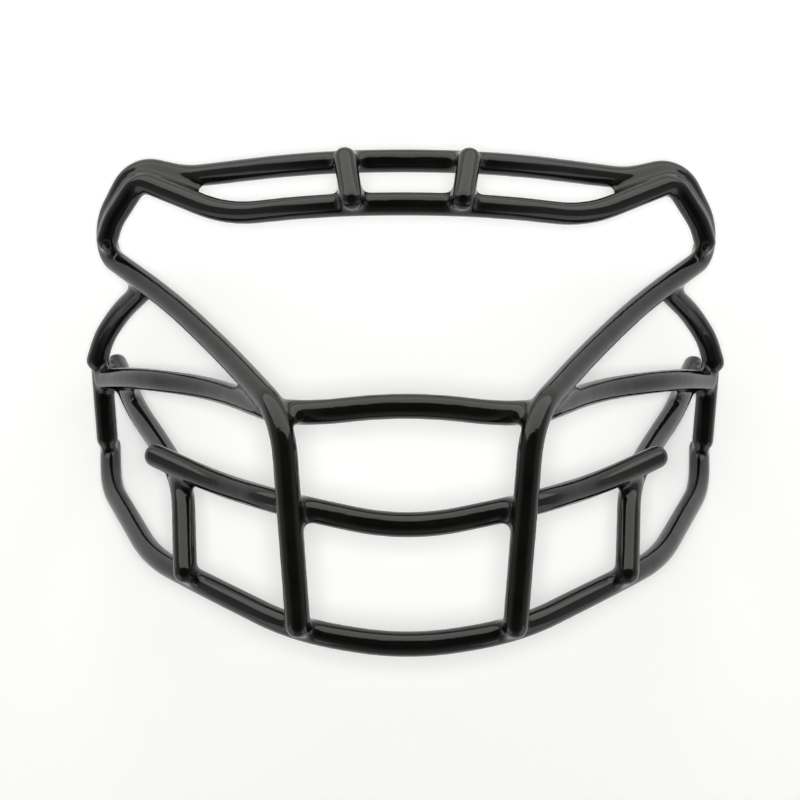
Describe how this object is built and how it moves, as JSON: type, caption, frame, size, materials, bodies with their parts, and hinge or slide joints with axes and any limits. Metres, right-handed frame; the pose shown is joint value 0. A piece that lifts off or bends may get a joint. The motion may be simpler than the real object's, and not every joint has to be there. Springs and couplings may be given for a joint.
{
  "type": "wire face guard",
  "caption": "Wire face guard for an American football helmet: bent steel wires, welded and dipped in glossy black polymer, with an open eye gap and lower cross wires.",
  "frame": {"origin": "on the bench, under the middle of the guard's overall box, with the guard lying on its back", "axes": "+Z out of the face towards the front of the guard, +Y towards the brow, X across, with X = 0 the plane of symmetry"},
  "size_m": [0.2322, 0.1608, 0.1253],
  "materials": {
    "coat": "glossy black dipped polymer",
    "weld": "weld metal under the glossy black coat",
    "wire": "drawn carbon steel wire, sealed inside the coat"
  },
  "bodies": {
    "root": {"cheek_wire_left": "wire", "cheek_wire_right": "wire", "chin_wire": "wire", "coat_brow": "coat", "coat_cheek_left": "coat", "coat_cheek_right": "coat", "coat_chin": "coat", "coat_ear_left": "coat", "coat_ear_right": "coat", "coat_front_left": "coat", "coat_front_right": "coat", "coat_lower_brow": "coat", "coat_mouth": "coat", "coat_nose": "coat", "coat_side_left": "coat", "coat_side_right": "coat", "coat_strut_left": "coat", "coat_strut_right": "coat", "ear_wire_left": "wire", "ear_wire_right": "wire", "frame_wire": "wire", "lower_brow_wire": "wire", "mouth_wire": "wire", "nose_wire": "wire", "side_wire_left": "wire", "side_wire_right": "wire", "strut_wire_left": "wire", "strut_wire_right": "wire", "weld_chin_cheek_left": "weld", "weld_chin_cheek_right": "weld", "weld_chin_frame_left": "weld", "weld_chin_frame_right": "weld", "weld_chin_side_left": "weld", "weld_chin_side_right": "weld", "weld_ear_frame_left": "weld", "weld_ear_frame_right": "weld", "weld_ear_side_left": "weld", "weld_ear_side_right": "weld", "weld_leg_left": "weld", "weld_leg_right": "weld", "weld_mouth_cheek_left": "weld", "weld_mouth_cheek_right": "weld", "weld_mouth_frame_left": "weld", "weld_mouth_frame_right": "weld", "weld_nose_cheek_left": "weld", "weld_nose_cheek_right": "weld", "weld_nose_frame_left": "weld", "weld_nose_frame_right": "weld", "weld_nose_side_left": "weld", "weld_nose_side_right": "weld", "weld_side_cheek_left": "weld", "weld_side_cheek_right": "weld", "weld_strut_frame_left": "weld", "weld_strut_frame_right": "weld", "weld_strut_lower_brow_left": "weld", "weld_strut_lower_brow_right": "weld", "weld_temple_left": "weld", "weld_temple_right": "weld"}
  },
  "joints": []
}
